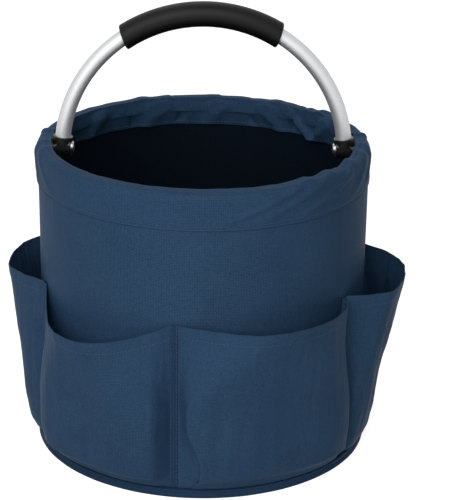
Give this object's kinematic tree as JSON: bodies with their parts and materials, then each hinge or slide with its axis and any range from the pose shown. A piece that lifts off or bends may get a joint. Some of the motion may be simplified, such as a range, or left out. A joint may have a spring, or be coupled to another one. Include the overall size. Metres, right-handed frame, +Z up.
{
  "type": "cleaning caddy",
  "caption": "Round fabric bucket with pockets all round the outside and an arched metal handle with a foam grip that folds down over the rim.",
  "frame": {"origin": "centre of the underside, on the surface that it stands on", "axes": "+Z up, X along the handle's hinge axis, -Y the front between two of the pockets' seams"},
  "size_m": [0.3381, 0.3191, 0.3825],
  "materials": {
    "outer_cloth": "woven, navy",
    "lining": "smooth coated cloth, near black",
    "tape": "woven tape, navy",
    "foam_sheet": "closed-cell foam sheet",
    "board": "matte board",
    "tube": "satin anodised",
    "frame_tube": "mill finish",
    "grip": "matte soft foam",
    "fitting": "moulded, fine satin",
    "rivet": "plated, bright"
  },
  "bodies": {
    "caddy": {"base_binding": "tape", "base_board": "board", "base_cloth": "outer_cloth", "base_lining": "lining", "body_wall": "outer_cloth", "hinge_bracket_left": "fitting", "hinge_bracket_right": "fitting", "pivot_rivet_left": "rivet", "pivot_rivet_right": "rivet", "pivot_washer_left": "rivet", "pivot_washer_right": "rivet", "pocket_1": "outer_cloth", "pocket_2": "outer_cloth", "pocket_3": "outer_cloth", "pocket_4": "outer_cloth", "pocket_5": "outer_cloth", "pocket_6": "outer_cloth", "pocket_seam_tapes": "tape", "rim_casing": "outer_cloth", "rim_tube_back": "frame_tube", "rim_tube_front": "frame_tube", "wall_foam": "foam_sheet", "wall_lining": "lining"},
    "handle": {"handle_tube": "tube", "foam_grip": "grip", "handle_socket_left": "fitting", "handle_socket_right": "fitting"}
  },
  "joints": [
    {"name": "handle_fold", "type": "hinge", "parent": "caddy", "child": "handle", "pos_m": [0, 0, 0.257], "axis": [1, 0, 0], "range_deg": [-90, 90]}
  ]
}
